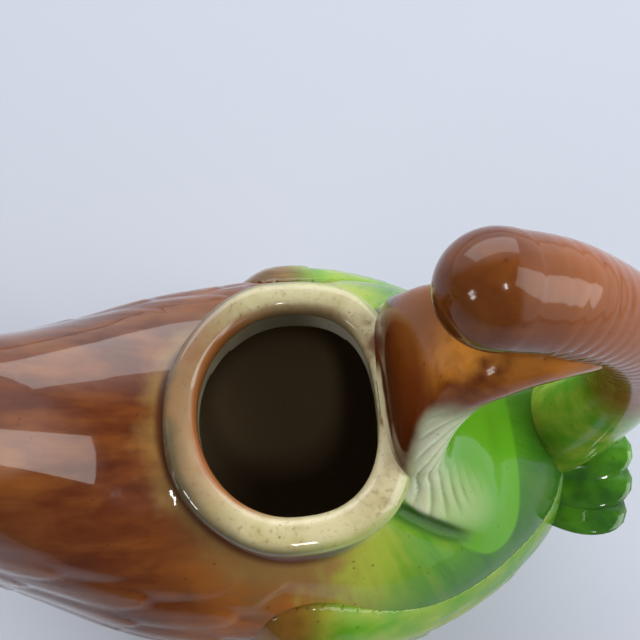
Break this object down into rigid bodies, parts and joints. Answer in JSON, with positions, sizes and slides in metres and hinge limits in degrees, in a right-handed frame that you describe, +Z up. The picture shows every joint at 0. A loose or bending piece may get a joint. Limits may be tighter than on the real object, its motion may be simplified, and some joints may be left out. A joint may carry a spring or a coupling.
{
  "type": "duck pitcher",
  "caption": "Glazed earthenware pitcher in the form of a duck: rimmed mouth in the back, hollow neck pouring through a parted bill, and a branch handle on a saddle behind the mouth.",
  "frame": {"origin": "on the table under the middle of the pitcher's bounding box", "axes": "+X towards the handle and tail, -X towards the bill, +Z up, +Y towards the duck's right flank"},
  "size_m": [0.2726, 0.1206, 0.1893],
  "materials": {
    "chestnut_glaze": "thick glossy amber and chestnut glaze over relief feathers",
    "head_glaze": "thick glossy deep green glaze",
    "ochre_glaze": "glossy ochre glaze",
    "black_glaze": "glossy black glaze",
    "cream_glaze": "glossy cream glaze with brown edges",
    "brown_glaze": "thick glossy chestnut brown glaze",
    "green_glaze": "thick glossy yellow-green to deep green glaze"
  },
  "bodies": {
    "root": {"body_shell": "chestnut_glaze", "head_shell": "head_glaze", "upper_bill": "ochre_glaze", "lower_bill": "ochre_glaze", "left_eye": "black_glaze", "right_eye": "black_glaze", "mouth_rim": "cream_glaze", "handle_saddle": "brown_glaze", "handle_loop": "brown_glaze", "left_wing": "green_glaze", "right_wing": "green_glaze", "tail_feathers": "green_glaze", "oval_foot": "green_glaze", "left_webbed_foot": "ochre_glaze", "right_webbed_foot": "ochre_glaze"}
  },
  "joints": []
}
